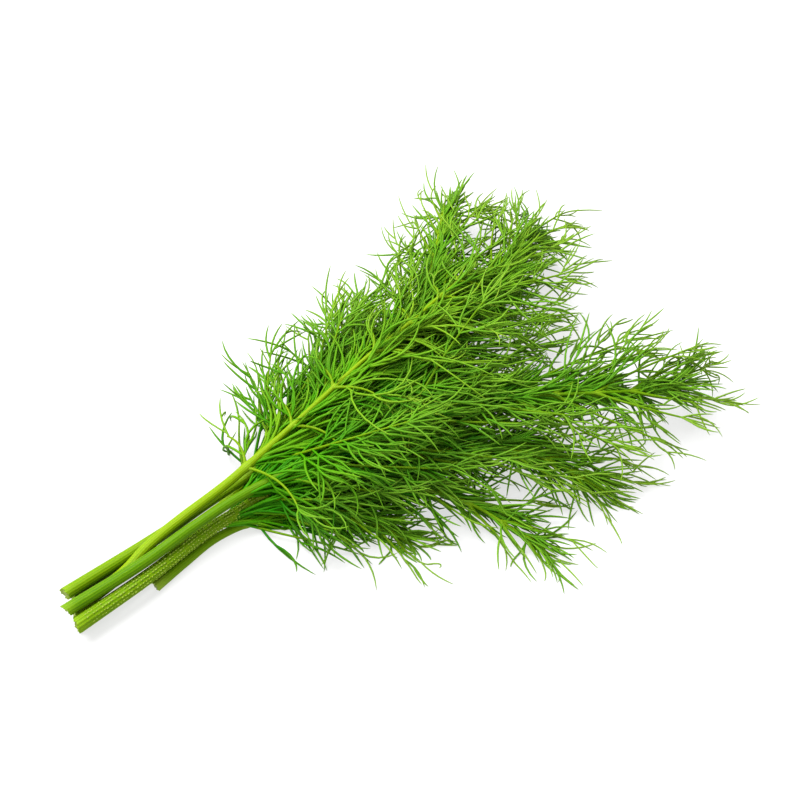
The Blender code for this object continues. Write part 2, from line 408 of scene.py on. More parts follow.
@dataclass
class Skeleton:
    """The routes of all stalks and their side branches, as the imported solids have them."""

    plans: Sequence[StalkPlan]
    branches: List[List[Branch]] = field(default_factory=list)
    last_pair: float = 0.97
    crowding: float = 1.25
    shortening: float = 0.6
    shortening_power: float = 1.4
    closing: float = 0.45
    length_spread: Span = (0.86, 1.1)
    angle_spread: Span = (-6, 6)
    rise: Span = (-10, 22)
    droop: Span = (0.02, 0.16)
    shorter: Tuple[float, ...] = (1, 0.8, 0.6, 0.4)
    turned: Tuple[float, ...] = (0, 9, -9, 18, -18, 27, -27, 36, 48, 60)

    @staticmethod
    def stem(plan: StalkPlan, count: int, flat: float = 0.0) -> Rod:
        """A stalk's route with its radii.

        Args:
            plan: the stalk.
            count: how many points are wanted.
            flat: 0 lets an eight-sided stalk bear on a flat side, 1 lets a round one bear.

        Returns:
            The rod, which narrows up to its first branches and then tapers.
        """
        path = smooth_route(plan.route, count)
        share = np.linspace(0, 1, count)
        node = NODE_RADIUS * plan.radius
        leafy = np.clip((share - plan.first_pair) / (1 - plan.first_pair), 0, 1)
        bare = np.clip(share / plan.first_pair, 0, 1)
        radii = blend((plan.radius, node), bare) + (TIP_RADIUS - node) * leafy**TAPER_POWER
        lift = math.cos(math.pi / CAD_SIDES)
        path[:, 2] = np.maximum(path[:, 2], radii * (lift + (1 - lift) * flat))
        return Rod(path, radii)

    def grow(self) -> None:
        """Finds every stalk's branches, each clear of the other stalks, in the solids' order."""
        spaces = [Growth() for _ in self.plans]
        for space, plan in zip(spaces, self.plans):
            space.add(self.stem(plan, CAD_RINGS))
        for number, plan in enumerate(self.plans):
            others = spaces[:number] + spaces[number + 1 :]
            grown = self._branches(plan, others)
            for branch in grown:
                spaces[number].add(branch.rod())
            self.branches.append(grown)

    def _branches(self, plan: StalkPlan, others: Sequence[Growth]) -> List[Branch]:
        """One stalk's branches.

        Args:
            plan: the stalk.
            others: the space that the other stalks take.

        Returns:
            The branches in pairs from the cut end on, and the one that ends the stalk.
        """
        random = Random(plan.name)
        path = self.stem(plan, ROUTE_POINTS).path
        forward, side, up = frames(path, UP)
        found: List[Optional[Branch]] = []
        for pair in range(plan.pairs + 1):
            age = pair / plan.pairs
            leafy = 1 - (1 - age) ** self.crowding
            share = plan.first_pair + (self.last_pair - plan.first_pair) * leafy
            at = int(share * (len(path) - 1))
            shrunk = 1 - self.shortening * age**self.shortening_power
            for hand in (Side.RIGHT.value, Side.LEFT.value):
                length = plan.branch[hand < 0] * shrunk * random.uniform(*self.length_spread)
                angle = plan.spread * (1 - self.closing * age)
                angle = math.radians(angle + random.uniform(*self.angle_spread))
                rise = random.uniform(*self.rise)
                bend = plan.curl * forward[at] - np.array((0, 0, random.uniform(*self.droop)))
                upright = Branch(path[at], forward[at], length, bend, up[at], share)
                found.append(self._clear(upright, side[at], hand, angle, rise, others))
        length, bend = plan.branch[0] * END_BRANCH, np.array((0, 0, -END_DROOP))
        last = Branch(path[END_POINT], forward[END_POINT], length, bend, up[END_POINT], 1.0)
        found.append(self._clear(last, side[END_POINT], Side.LEFT.value, 0, 0, others))
        return [branch for branch in found if branch]

    def _clear(
        self,
        upright: Branch,
        side: np.ndarray,
        hand: int,
        angle: float,
        rise: float,
        others: Sequence[Growth],
    ) -> Optional[Branch]:
        """A branch at the given angles or, where another stalk is in the way, turned or shortened.

        Args:
            upright: the branch as it would be if it ran straight on along the stalk.
            side: the direction to the left of the stalk there.
            hand: the side that it leaves on.
            angle: between it and the stalk, in radians.
            rise: how far it rises about the stalk, in degrees.
            others: the space that the other stalks take.

        Returns:
            The branch, or None where nothing fits.
        """
        forward, up = upright.direction, upright.upward
        for shorter in self.shorter:
            for turn in self.turned:
                lean = math.radians(rise + turn)
                across = hand * math.cos(lean) * side + math.sin(lean) * up
                direction = math.cos(angle) * forward + math.sin(angle) * across
                length, share = upright.length * shorter, upright.node_share
                branch = Branch(upright.root, direction, length, upright.bend, up, share)
                points, sizes = branch.rod().samples()
                if all(other.distance(points, sizes) > GAP for other in others):
                    return branch
        return None


class MeshStore:
    """Collects points, faces and values at the points, and makes one mesh of them."""

    def __init__(self) -> None:
        """Starts empty."""
        self.points: List[np.ndarray] = []
        self.corners: List[np.ndarray] = []
        self.sizes: List[np.ndarray] = []
        self.values: Dict[str, List[np.ndarray]] = {}
        self.count = 0

    def add(
        self,
        points: np.ndarray,
        faces: Iterable[np.ndarray],
        **values: Union[float, np.ndarray],
    ) -> None:
        """Adds points, the faces between them, and one value of each kind for each point.

        Args:
            points: rows of millimetres.
            faces: arrays of corner numbers, one row a face, each with its own corner count.
            values: arrays with one entry, or one row of three, for each point, or a number that
                all the points have.
        """
        for block in faces:
            block = np.asarray(block, np.int32)
            self.corners.append((block + self.count).ravel())
            self.sizes.append(np.full(len(block), block.shape[1], np.int32))
        self.points.append(points)
        for name, value in values.items():
            rows = value if isinstance(value, np.ndarray) else np.full(len(points), value)
            self.values.setdefault(name, []).append(rows.astype(np.float32))
        self.count += len(points)

    def piece(self, name: str, finish: bpy.types.Material) -> bpy.types.Object:
        """The finished piece, smooth shaded, with each kind of value as a point attribute.

        Args:
            name: the piece's name.
            finish: its material.

        Returns:
            The object, in the scene.
        """
        mesh = bpy.data.meshes.new(name)
        points = np.vstack(self.points) * MM
        corners = np.concatenate(self.corners)
        sizes = np.concatenate(self.sizes)
        starts = np.concatenate([[0], np.cumsum(sizes)[:-1]]).astype(np.int32)
        mesh.vertices.add(len(points))
        mesh.vertices.foreach_set("co", points.astype(np.float32).ravel())
        mesh.loops.add(len(corners))
        mesh.loops.foreach_set("vertex_index", corners)
        mesh.polygons.add(len(sizes))
        mesh.polygons.foreach_set("loop_start", starts)
        mesh.polygons.foreach_set("use_smooth", np.ones(len(sizes), bool))
        mesh.update(calc_edges=True)
        for kind, parts in self.values.items():
            data = np.concatenate(parts)
            vector = data.ndim == 2
            layer = mesh.attributes.new(kind, "FLOAT_VECTOR" if vector else "FLOAT", "POINT")
            layer.data.foreach_set("vector" if vector else "value", data.ravel())
        mesh.validate()
        mesh.materials.append(finish)
        made = bpy.data.objects.new(name, mesh)
        bpy.context.scene.collection.objects.link(made)
        return made


def ringed_faces(rings: int, sides: int) -> np.ndarray:
    """Four-cornered faces of a tube of rings that are numbered one after another."""
    ring, k = np.meshgrid(np.arange(rings - 1), np.arange(sides), indexing="ij")
    low, right = ring * sides + k, ring * sides + (k + 1) % sides
    return np.stack([low, right, right + sides, low + sides], axis=-1).reshape(-1, 4)


def fan(start: int, sides: int, hub: int, back: bool = False) -> np.ndarray:
    """Three-cornered faces between a ring of points and one more point.

    Args:
        start: the number of the ring's first point.
        sides: how many points the ring has.
        hub: the number of the other point.
        back: whether the faces look back along the tube.

    Returns:
        One row of corner numbers a face.
    """
    k = np.arange(sides)
    pair = [start + k, start + (k + 1) % sides]
    return np.stack([*(reversed(pair) if back else pair), np.full(sides, hub)], axis=-1)


@dataclass
class ThreadBundle:
    """Many thin threads with pointed ends, made at once.

    Each thread leaves its root along a direction and turns evenly towards a second one, so it lies
    on an arc. Its length stays true however far it turns.
    """

    roots: np.ndarray
    directions: np.ndarray
    towards: np.ndarray
    turns: np.ndarray
    lengths: np.ndarray
    radii: np.ndarray
    tones: np.ndarray
    ages: np.ndarray
    sides: int = 5
    shares: Tuple[float, ...] = (0.0, 0.19, 0.38, 0.57, 0.76, 0.91, 1.0)
    profile: Tuple[float, ...] = (1.0, 1.04, 1.03, 0.96, 0.78, 0.47)
    ageing: float = 0.5
    least_turn: float = 1e-3
    nudge: float = 1e-6

    def __post_init__(self) -> None:
        """Squares the second directions to the first ones."""
        along = (self.towards * self.directions).sum(-1, keepdims=True)
        self.towards = unit(self.towards - along * self.directions + self.nudge)
        straight = np.abs(self.turns) < self.least_turn
        self.turns = np.where(straight, self.least_turn, self.turns)

    def at(self, shares: np.ndarray) -> Tuple[np.ndarray, np.ndarray]:
        """Points and directions on the threads at shares of their own lengths.

        Args:
            shares: one row of shares for each thread.

        Returns:
            The points, kept above the table, and the unit directions there.
        """
        turns, radii = self.turns[:, None], self.radii[:, None]
        turn = turns * shares
        ahead = (np.sin(turn) / turns)[..., None]
        aside = ((1 - np.cos(turn)) / turns)[..., None]
        first, second = self.directions[:, None], self.towards[:, None]
        lengths = self.lengths[:, None, None]
        points = self.roots[:, None] + lengths * (ahead * first + aside * second)
        points[..., 2] = np.maximum(points[..., 2], radii)
        return points, np.cos(turn)[..., None] * first + np.sin(turn)[..., None] * second

    def some(self, which: np.ndarray) -> "ThreadBundle":
        """The threads that a mask of truths picks."""
        paths = (self.roots, self.directions, self.towards, self.turns, self.lengths)
        looks = (self.radii, self.tones, self.ages)
        return ThreadBundle(*(rows[which] for rows in (*paths, *looks)))

    def store(self, into: MeshStore) -> None:
        """Adds the threads' meshes to a store."""
        count, rings, sides = len(self.roots), len(self.profile), self.sides
        points, forward = self.at(np.broadcast_to(self.shares, (count, rings + 1)))
        across = np.cross(self.directions, self.towards)[:, None]
        second = np.cross(forward, across)[:, :rings, None]
        turn = turns_round(sides)[:, None]
        circle = np.cos(turn) * across[:, :, None] + np.sin(turn) * second
        size = self.radii[:, None] * np.array(self.profile)[None]
        tubes = points[:, :rings, None] + size[..., None, None] * circle
        tubes = tubes.reshape(count, rings * sides, 3)
        each = rings * sides + 1
        starts = np.arange(count)[:, None, None] * each
        quads = (ringed_faces(rings, sides)[None] + starts).reshape(-1, 4)
        tips = (fan((rings - 1) * sides, sides, each - 1)[None] + starts).reshape(-1, 3)
        along = np.append(np.repeat(self.shares[:rings], sides), 1.0)
        ages = self.ages[:, None]
        into.add(
            np.concatenate([tubes, points[:, -1:]], axis=1).reshape(-1, 3),
            (quads, tips),
            tone=np.repeat(self.tones, each),
            age=(ages + (1 - ages) * self.ageing * along[None]).ravel(),
        )


class Recipe:
    """A Principled material while its nodes are put together."""

    def __init__(self, name: str) -> None:
        """Starts with a bare shader."""
        self.material = bpy.data.materials.new(name)
        self.material.use_nodes = True
        self.nodes = self.material.node_tree.nodes
        self.links = self.material.node_tree.links
        self.shader = self.nodes["Principled BSDF"]

    def set(self, **values: Union[float, Colour]) -> None:
        """Sets plain values of the shader's sockets, named with _ for each space."""
        for name, value in values.items():
            self.shader.inputs[name.replace("_", " ")].default_value = value

    def value(self, name: str, kind: str = "Fac") -> Socket:
        """What the mesh holds at each point under a name."""
        node = self.nodes.new("ShaderNodeAttribute")
        node.attribute_name = name
        return node.outputs[kind]

    def noise(self, place: Socket, scale: float, detail: float) -> Socket:
        """Cloudy noise from 0 to 1.

        Args:
            place: where it is read.
            scale: how close its clouds lie.
            detail: how many finer layers it has.

        Returns:
            The noise's socket.
        """
        node = self.nodes.new("ShaderNodeTexNoise")
        node.inputs["Scale"].default_value = scale
        node.inputs["Detail"].default_value = detail
        self.links.new(place, node.inputs["Vector"])
        return node.outputs["Fac"]

    def maths(self, operation: str, *terms: Union[Socket, float]) -> Socket:
        """The result of one step of arithmetic.

        Args:
            operation: what is done with the terms.
            terms: sockets or plain numbers.

        Returns:
            The result's socket.
        """
        node = self.nodes.new("ShaderNodeMath")
        node.operation = operation
        for term, socket in zip(terms, node.inputs):
            if isinstance(term, float):
                socket.default_value = term
            else:
                self.links.new(term, socket)
        return node.outputs["Value"]

    def stretched(self, value: Socket, reach: Span, most: float) -> Socket:
        """A value drawn out to run from 0 to the most that it may be, over its reach."""
        node = self.nodes.new("ShaderNodeMapRange")
        node.inputs["From Min"].default_value, node.inputs["From Max"].default_value = reach
        node.inputs["To Max"].default_value = most
        self.links.new(value, node.inputs["Value"])
        return node.outputs["Result"]

    def ramp(self, value: Socket, colours: Tuple[Colour, Colour, Colour]) -> Socket:
        """The colour at a value from 0 to 1 along three evenly spaced ones."""
        node = self.nodes.new("ShaderNodeValToRGB")
        first, middle, last = ((*colour, 1) for colour in colours)
        node.color_ramp.elements[0].color = first
        node.color_ramp.elements[1].color = last
        node.color_ramp.elements.new(0.5).color = middle
        self.links.new(value, node.inputs["Fac"])
        return node.outputs["Color"]

    def mixed(
        self, share: Socket, first: Union[Socket, Colour], second: Union[Socket, Colour]
    ) -> Socket:
        """The mix of two colours.

        Args:
            share: how much of the second colour shows.
            first: the colour at 0, as a socket or a plain colour.
            second: the colour at 1, in the same way.

        Returns:
            The mixed colour's socket.
        """
        node = self.nodes.new("ShaderNodeMix")
        node.data_type = "RGBA"
        self.links.new(share, node.inputs["Factor"])
        sockets = [socket for socket in node.inputs if socket.type == "RGBA"]
        for colour, socket in zip((first, second), sockets):
            if isinstance(colour, tuple):
                socket.default_value = (*colour, 1)
            else:
                self.links.new(colour, socket)
        return [socket for socket in node.outputs if socket.type == "RGBA"][0]

    def bump(self, height: Socket, strength: float, distance: float) -> None:
        """Roughens the surface by a height."""
        node = self.nodes.new("ShaderNodeBump")
        node.inputs["Strength"].default_value = strength
        node.inputs["Distance"].default_value = distance
        self.links.new(height, node.inputs["Height"])
        self.links.new(node.outputs["Normal"], self.shader.inputs["Normal"])


@dataclass(frozen=True)
class WaxyFinish:
    """A matt waxy plant skin that a little light shines through."""

    name: str
    roughness: float = 0.48
    gloss: float = 0.1
    subsurface: float = 0.1
    subsurface_radius: Colour = (0.6, 1.0, 0.2)
    subsurface_scale: float = 0.001

    def waxed(self, recipe: Recipe, colour: Socket) -> bpy.types.Material:
        """The recipe's material, in a colour and with this skin."""
        recipe.links.new(colour, recipe.shader.inputs["Base Color"])
        recipe.set(
            Roughness=self.roughness,
            Specular_IOR_Level=self.gloss,
            Subsurface_Weight=self.subsurface,
            Subsurface_Radius=self.subsurface_radius,
            Subsurface_Scale=self.subsurface_scale,
        )
        return recipe.material


@dataclass(frozen=True)
class LeafFinish(WaxyFinish):
    """The thread leaves' finish: matt waxy green, yellower towards the tips."""

    name: str = "dill_leaf"
    gloss: float = 0.07
    subsurface_scale: float = 0.0006
    deep: Colour = (0.007, 0.106, 0.0002)
    middle: Colour = (0.048, 0.194, 0.001)
    light: Colour = (0.138, 0.255, 0.009)
    tip: Colour = (0.185, 0.285, 0.032)
    paling: Span = (0.4, 1.0)
    palest: float = 0.75

    def material(self) -> bpy.types.Material:
        """The node material: each thread has its own green and pales towards its end."""
        recipe = Recipe(self.name)
        body = recipe.ramp(recipe.value("tone"), (self.deep, self.middle, self.light))
        pale = recipe.stretched(recipe.value("age"), self.paling, self.palest)
        return self.waxed(recipe, recipe.mixed(pale, body, self.tip))


@dataclass(frozen=True)
class StalkFinish(WaxyFinish):
    """The stalks' finish: ribbed waxy green, pale joints, and moist cut ends with a pale pith."""

    name: str = "dill_stalk"
    subsurface: float = 0.12
    groove: Colour = (0.042, 0.130, 0.0001)
    ridge: Colour = (0.105, 0.200, 0.0005)
    fresh_groove: Colour = (0.115, 0.240, 0.0005)
    fresh_ridge: Colour = (0.205, 0.265, 0.005)
    joint: Colour = (0.175, 0.28, 0.012)
    cut: Colour = (0.18, 0.27, 0.025)
    pith: Colour = (0.30, 0.37, 0.11)
    dried: Colour = (0.11, 0.09, 0.02)
    streak_scale: float = 2.2
    streak_detail: float = 3.0
    streak_contrast: float = 0.9
    rib_contrast: float = 0.6
    rib_shift: float = -0.25
    blotch_scale: float = 0.35
    blotch_detail: float = 2.0
    blotch_contrast: float = 0.3
    blotch_shift: float = 0.15
    worn: Span = (0.5, 0.68)
    most_worn: float = 0.7
    bump_strength: float = 0.25
    bump_height: float = 0.0002

    def material(self) -> bpy.types.Material:
        """The node material: streaks and ribs, then joints, and cut faces with dried spots."""
        recipe = Recipe(self.name)
        grain = recipe.value("grain", "Vector")
        streak = recipe.noise(grain, self.streak_scale, self.streak_detail)
        blotch = recipe.noise(grain, self.blotch_scale, self.blotch_detail)
        rib = recipe.value("rib")
        ribs = recipe.maths("MULTIPLY_ADD", rib, self.rib_contrast, self.rib_shift)
        raised = recipe.maths("MULTIPLY_ADD", streak, self.streak_contrast, ribs)
        old = recipe.mixed(raised, self.groove, self.ridge)
        new = recipe.mixed(raised, self.fresh_groove, self.fresh_ridge)
        tone = recipe.maths("SUBTRACT", recipe.value("tone"), self.blotch_shift)
        fresh = recipe.maths("MULTIPLY_ADD", blotch, self.blotch_contrast, tone)
        body = recipe.mixed(fresh, old, new)
        jointed = recipe.mixed(recipe.value("joint"), body, self.joint)
        faces = recipe.mixed(recipe.value("pith"), self.cut, self.pith)
        worn = recipe.stretched(streak, self.worn, self.most_worn)
        drying = recipe.maths("MULTIPLY", worn, recipe.value("dry"))
        aged = recipe.mixed(drying, faces, self.dried)
        recipe.bump(streak, self.bump_strength, self.bump_height)
        return self.waxed(recipe, recipe.mixed(recipe.value("cut"), jointed, aged))


@dataclass
class Beads:
    """Rows of small pale beads along a stem's bare length.

    rows holds, for each row, its place as a share of a turn round the stem, and its beads' size.
    """

    plan: StalkPlan
    stem: Rod
    rings: int = 5
    sides: int = 8
    rows: Tuple[Span, ...] = (
        (0.43, 0.7), (0.5, 0.95), (0.57, 1.0), (0.645, 0.75), (0.715, 0.85), (0.785, 0.7),
    )
    radius: float = 0.42
    radius_spread: Span = (0.7, 1.15)
    shape: Point = (1.5, 0.8, 0.85)
    sunk: float = 0.93
    wander: Span = (-0.006, 0.006)
    first: Span = (3.0, 6.0)
    past_joint: float = 1.05
    step: float = 1.7
    step_by_size: Span = (0.5, 1.0)
    step_spread: Span = (0.75, 1.3)
    paleness: float = 0.5
    pithiness: float = 0.7
    lightness: float = 0.6
    grain_scale: float = 0.8

    def _ball(self) -> Tuple[np.ndarray, Tuple[np.ndarray, ...]]:
        """A ball of rings and sides, with its faces."""
        rings, sides, turn = self.rings, self.sides, turns_round(self.sides)
        tilt = np.linspace(0, math.pi, rings + 2)[1:-1]
        level = np.outer(np.sin(tilt), np.cos(turn)), np.outer(np.sin(tilt), np.sin(turn))
        points = np.stack([*level, np.outer(np.cos(tilt), np.ones(sides))], axis=-1)
        top, bottom = rings * sides, rings * sides + 1
        faces = (
            ringed_faces(rings, sides)[:, ::-1],
            fan(0, sides, top),
            fan(top - sides, sides, bottom, back=True),
        )
        return np.vstack([points.reshape(-1, 3), [(0, 0, 1), (0, 0, -1)]]), faces

    def store(self, into: MeshStore) -> None:
        """Adds the beads' meshes to a store."""
        random = Random(self.plan.name + " beads")
        forward, side, up = frames(self.stem.path, UP)
        share, total = shares_of(self.stem.path), length_of(self.stem.path)
        ball, faces = self._ball()
        for row, scale in self.rows:
            place = random.uniform(*self.first)
            while place < total * self.plan.first_pair * self.past_joint:
                at = int(np.searchsorted(share, place / total))
                around = 2 * math.pi * (row + random.uniform(*self.wander))
                out = math.sin(around) * side[at] - math.cos(around) * up[at]
                axes = np.stack([forward[at], np.cross(out, forward[at]), out])
                size = scale * self.radius * random.uniform(*self.radius_spread)
                centre = self.stem.path[at] + out * self.stem.radii[at] * self.sunk
                points = centre + (ball * self.shape * size) @ axes
                into.add(
                    points,
                    faces,
                    grain=points * self.grain_scale,
                    rib=1.0,
                    joint=0.0,
                    tone=self.lightness,
                    cut=self.paleness * np.clip(ball[:, 2] + 0.5, 0, 1),
                    pith=self.pithiness,
                    dry=0.0,
                )
                stride = blend(self.step_by_size, scale) * self.step
                place += stride * random.uniform(*self.step_spread)


@dataclass
class Stalk:
    """One stalk's round stem with its ribs, joints, cut end and bare side branches."""

    plan: StalkPlan
    stem: Rod
    branches: Sequence[Branch]
    sides: int = 54
    ribs: int = 14
    rib_depth: float = 0.05
    beaded_rib_depth: float = 0.1
    groove_power: float = 1.5
    twist: Span = (-0.004, 0.004)
    slimness: Tuple[float, float, float, float] = (1.0, 0.82, 0.6, 0.7)
    slimming: float = 0.12
    joint_swell: float = 0.16
    joint_length: float = 1.7
    joint_paleness: float = 0.7
    yellowing: float = 3.0
    yellowest: float = 0.8
    withering: float = 5.0
    withered: float = 0.85
    slant: Span = (-0.35, 0.35)
    tears: Tuple[Span, ...] = ((0.10, 3), (0.07, 7), (0.05, 13))
    second_ring: float = 0.5
    cap_rings: int = 5
    dish: float = 0.12
    hub_dish: float = 0.1
    cap_grain: float = 7.0
    grain_stretch: float = 0.07
    grain_places: Span = (0, 50)
    branch_sides: int = 8
    branch_rings: Tuple[float, ...] = (
        0, 0.03, 0.07, 0.13, 0.22, 0.33, 0.45, 0.57, 0.68, 0.78, 0.87, 0.94, 1.0,
    )
    branch_radii: Span = (0.6, 0.36)
    branch_flare: float = 0.35
    branch_flare_length: float = 2.5
    branch_tip: float = 0.3
    branch_paleness: float = 0.35
    branch_rib: float = 0.5
    branch_tones: Span = (0.15, 0.6)

    def build(self, finish: bpy.types.Material) -> bpy.types.Object:
        """Makes the piece.

        Args:
            finish: the stalks' material.

        Returns:
            The object.
        """
        store = MeshStore()
        self._add_stem(store)
        if self.plan.skin is Skin.BEADED_RIBS:
            Beads(self.plan, self.stem).store(store)
        self._add_branches(store)
        return store.piece(self.plan.name + "_stem", finish)

    def _add_stem(self, store: MeshStore) -> None:
        """Adds the stem's ribbed tube, its cut face and its closed tip."""
        random = Random(self.plan.name + " stem")
        path, radii = self.stem.path, self.stem.radii
        forward, side, up = frames(path, UP)
        share, rings, sides = shares_of(path), len(path), self.sides
        distance, turn = share * length_of(path), turns_round(sides)
        twist = random.uniform(*self.twist) * distance[:, None]
        rib = 0.5 + 0.5 * np.cos(self.ribs * (turn[None] + twist))
        swells = self._swells(share)
        size = self._sizes(share, swells, rib)
        tube = path[:, None] + size[..., None] * hoops(side, up, turn)
        offset = radii[0] * self._raggedness(random, turn)
        tube[0] += offset[:, None] * forward[0]
        tube[1] += self.second_ring * offset[:, None] * forward[0]
        grain = self._grain(turn, self.plan.radius, distance) + random.uniform(*self.grain_places)
        cap, pith = self._cut_face(tube[0], forward[0], radii[0])
        tube, tip = tube.reshape(-1, 3), path[-1] + forward[-1] * radii[-1]
        points = np.vstack([tube, tip[None], cap])
        count, start, caps = len(tube), len(tube) + 1, len(cap)
        hub_ring = start + (self.cap_rings - 1) * sides
        faces = (
            ringed_faces(rings, sides),
            fan((rings - 1) * sides, sides, count),
            ringed_faces(self.cap_rings, sides)[:, ::-1] + start,
            fan(hub_ring, sides, len(points) - 1, back=True),
        )
        cap_grain = np.column_stack([cap @ side[0], cap @ up[0], np.full(caps, self.cap_grain)])
        withered = np.zeros(rings)
        if self.plan.skin is Skin.WITHERED_END:
            withered = self.withered * bell(distance / self.withering)
        worn = np.concatenate([np.repeat(withered, sides), [0], np.ones(caps)])
        pale = np.maximum(swells, self.yellowest * bell(distance / self.yellowing))
        store.add(
            points,
            faces,
            grain=np.vstack([grain, grain[-1:], cap_grain]),
            rib=np.append(rib.ravel(), np.zeros(1 + caps)),
            joint=np.append(np.repeat(pale, sides) * self.joint_paleness, np.zeros(1 + caps)),
            tone=self.plan.stem_lightness,
            cut=worn,
            dry=worn,
            pith=np.append(np.zeros(start), pith),
        )

    def _swells(self, share: np.ndarray) -> np.ndarray:
        """How near the stem's points are to a joint, from 0 up to 1 at the joint's middle."""
        near, total = np.zeros(len(share)), length_of(self.stem.path)
        for place in sorted({branch.node_share for branch in self.branches}):
            near = np.maximum(near, bell((share - place) * total / self.joint_length))
        return near

    def _sizes(self, share: np.ndarray, swells: np.ndarray, rib: np.ndarray) -> np.ndarray:
        """The stem's radii.

        Args:
            share: of the stem's length, for each ring.
            swells: how near each ring is to a joint.
            rib: how near each point of each ring is to a ridge.

        Returns:
            One row a ring, with one radius a side.
        """
        beaded = self.plan.skin is Skin.BEADED_RIBS
        depth = self.beaded_rib_depth if beaded else self.rib_depth
        first = self.plan.first_pair
        slim = np.interp(share, (0, first, first + self.slimming, 1), self.slimness)
        slim = slim * (1 + self.joint_swell * swells)
        return (self.stem.radii * slim)[:, None] * (1 - depth * (1 - rib) ** self.groove_power)

    def _raggedness(self, random: Random, turn: np.ndarray) -> np.ndarray:
        """How far the cut edge stands back round the stem, as a share of its radius.

        Args:
            random: the stem's own draws.
            turn: the angles of its sides.

        Returns:
            One number a side.
        """
        slant = (random.uniform(*self.slant), random.uniform(*self.slant))
        phases = [random.uniform(0, 2 * math.pi) for _ in self.tears]
        waves = zip(self.tears, phases)
        torn = sum(depth * np.sin(count * turn + phase) for (depth, count), phase in waves)
        return slant[0] * np.sin(turn) + slant[1] * np.cos(turn) + torn

    def _grain(self, turn: np.ndarray, radius: float, distance: np.ndarray) -> np.ndarray:
        """Places in the noise for the points of a tube, so that its streaks run along it.

        Args:
            turn: the angles of its sides.
            radius: how wide it is drawn in the noise.
            distance: of each ring from the tube's start.

        Returns:
            One row a point.
        """
        rings = len(distance)
        across = np.tile(np.sin(turn) * radius, rings), np.tile(np.cos(turn) * radius, rings)
        return np.column_stack([*across, np.repeat(distance * self.grain_stretch, len(turn))])

    def _cut_face(
        self, edge: np.ndarray, forward: np.ndarray, radius: float
    ) -> Tuple[np.ndarray, np.ndarray]:
        """The dished face at the cut end.

        Args:
            edge: the tube's first ring.
            forward: the stem's direction there.
            radius: the stem's radius there.

        Returns:
            The points, ring by ring from the edge in, and how near each lies to the pith.
        """
        centre = edge.mean(axis=0)
        points, pith = [edge], [np.zeros(len(edge))]
        for ring in range(1, self.cap_rings):
            inward = ring / self.cap_rings
            depth = self.dish * radius * math.sin(inward * math.pi / 2)
            points.append(edge + (centre - edge) * inward + forward * depth)
            pith.append(np.full(len(edge), inward))
        points.append((centre + forward * self.hub_dish * radius)[None])
        return np.vstack(points), np.concatenate([*pith, np.ones(1)])

    def _add_branches(self, store: MeshStore) -> None:
        """Adds the bare side branches, each with a widened root."""
        random = Random(self.plan.name + " branches")
        shares, turn = np.array(self.branch_rings), turns_round(self.branch_sides)
        rings, sides = len(shares), self.branch_sides
        for branch in self.branches:
            path = branch.points(shares)
            forward, side, up = frames(path, branch.upward)
            wide = np.exp(-shares * branch.length / self.branch_flare_length)
            radii = blend(self.branch_radii, shares) + self.branch_flare * wide
            tube = (path[:, None] + radii[:, None, None] * hoops(side, up, turn)).reshape(-1, 3)
            tip = path[-1] + forward[-1] * self.branch_tip
            grain = np.vstack([self._grain(turn, 1.0, shares * branch.length), np.zeros(3)])
            store.add(
                np.vstack([tube, tip]),
                (ringed_faces(rings, sides), fan((rings - 1) * sides, sides, len(tube))),
                grain=grain + random.uniform(*self.grain_places),
                rib=self.branch_rib,
                joint=np.append(np.repeat(wide, sides) * self.branch_paleness, 0),
                tone=blend(self.branch_tones, self.plan.lightness),
                cut=0.0,
                pith=0.0,
                dry=0.0,
            )


@dataclass(frozen=True)
class Forking:
    """How threads leave the middle thread of a spray.

    places holds, for each thread, the share of the middle thread's length where it leaves and its
    side. reach is the thread's length as a share of what is left of the middle thread there, and
    shortest its least length. kept is the share of the places that bear a thread, by the middle
    thread's age, and again the share of the threads that fork once more.
    """

    angle: Span
    reach: Span
    shortest: Span
    turn: Span
    kept: Span = (1.0, 1.0)
    places: Tuple[Tuple[float, int], ...] = ()
    again: float = 0.0


SPRAY_FORKING = Forking(
    angle=(16.0, 38.0),
    reach=(0.8, 1.15),
    shortest=(14.0, 21.0),
    turn=(0.25, 1.2),
    kept=(1.0, 0.45),
    places=((0.12, 1), (0.16, -1), (0.38, 1), (0.42, -1), (0.64, 1)),
    again=0.2,
)
SHOOT_FORKING = Forking(
    angle=(12.0, 26.0),
    reach=(0.75, 1.1),
    shortest=(13.0, 20.0),
    turn=(0.1, 0.8),
    kept=(0.95, 0.85),
    places=(
        (0.3, 1), (0.36, -1), (0.44, 1), (0.51, -1), (0.59, 1), (0.66, -1), (0.74, 1), (0.82, -1),
    ),
    again=0.35,
)
AGAIN_FORKING = Forking(
    angle=(12.0, 26.0), reach=(0.8, 1.15), shortest=(11.0, 16.0), turn=(0.05, 0.5)
)


